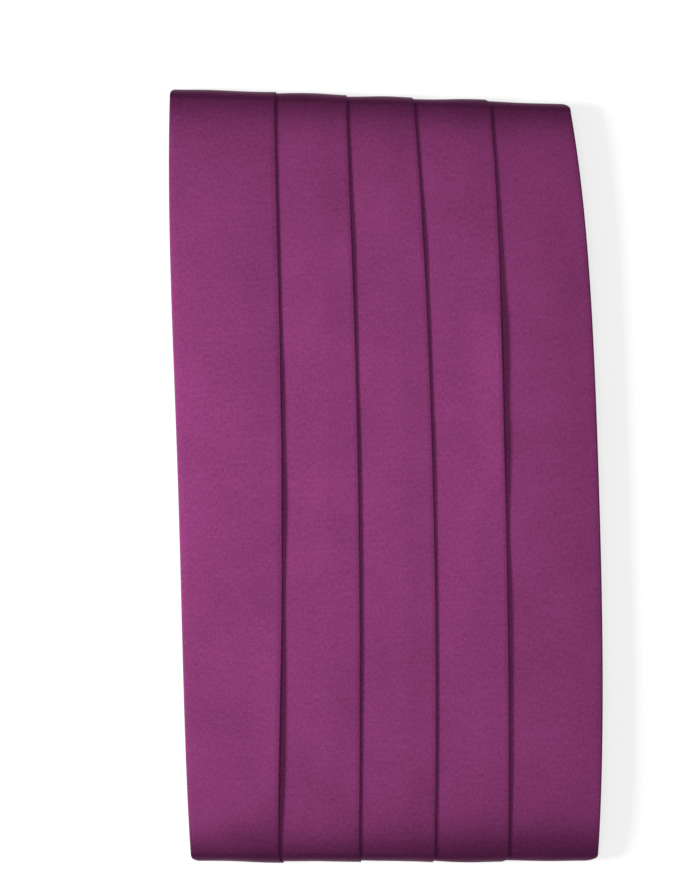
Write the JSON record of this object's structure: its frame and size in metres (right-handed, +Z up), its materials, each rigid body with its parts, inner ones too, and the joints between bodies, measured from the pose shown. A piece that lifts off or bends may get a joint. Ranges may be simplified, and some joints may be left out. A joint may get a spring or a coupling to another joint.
{
  "type": "cummerbund",
  "caption": "Pleated satin cummerbund, folded flat and lying face up, with sewn end tabs, elastic back straps and a flat hook.",
  "frame": {"origin": "middle of the folded piece, on the surface that it lies on", "axes": "+X across the pleats, the way their folded edges face; +Y along the cloth to the far fold; +Z up out of the face"},
  "size_m": [0.1444, 0.2686, 0.0122],
  "materials": {
    "satin": "plum satin, soft sheen",
    "tab_satin": "plum satin, sewn double",
    "elastic": "woven elastic, matt",
    "hook_metal": "stamped and tumbled"
  },
  "bodies": {
    "root": {"pleated_front": "satin", "near_tab": "tab_satin", "far_tab": "tab_satin", "near_strap": "elastic", "far_strap": "elastic", "strap_hook": "hook_metal"}
  },
  "joints": []
}
